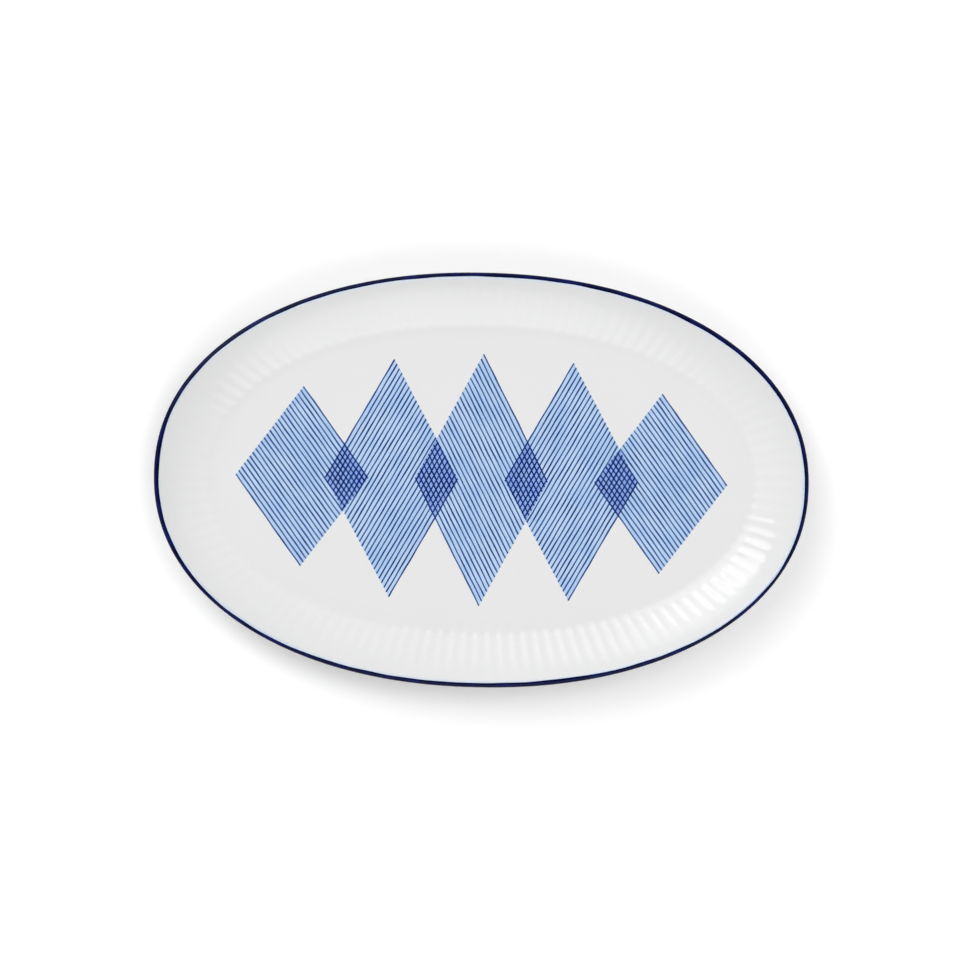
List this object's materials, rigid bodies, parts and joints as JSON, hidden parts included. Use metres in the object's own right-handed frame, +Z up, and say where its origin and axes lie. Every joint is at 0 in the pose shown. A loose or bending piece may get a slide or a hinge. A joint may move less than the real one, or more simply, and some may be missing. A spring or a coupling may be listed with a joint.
{
  "type": "oval plate",
  "caption": "Oval porcelain plate with a flat well, a fluted flank, a dark blue line round the lip and a foot ring, for serving a light meal.",
  "frame": {"origin": "on the table, below the middle of the plate", "axes": "+X along the plate's length, +Y along its width, +Z up out of the well"},
  "size_m": [0.27, 0.171, 0.02],
  "materials": {
    "glaze": "white porcelain under a clear glossy glaze",
    "bisque": "glazed sides, with a bare, finely ground standing edge",
    "cobalt": "dark cobalt blue fired under the glaze, glossy",
    "print_wash": "pale blue wash with fine dark blue lines, glossy",
    "print_overlap": "deeper blue where two prints cross, glossy"
  },
  "bodies": {
    "root": {"porcelain_body": "glaze", "foot_ring": "bisque", "rim_line": "cobalt", "far_left_lozenge": "print_wash", "left_lozenge": "print_wash", "centre_lozenge": "print_wash", "right_lozenge": "print_wash", "far_right_lozenge": "print_wash", "far_left_left_overlap": "print_overlap", "left_centre_overlap": "print_overlap", "centre_right_overlap": "print_overlap", "right_far_right_overlap": "print_overlap"}
  },
  "joints": []
}
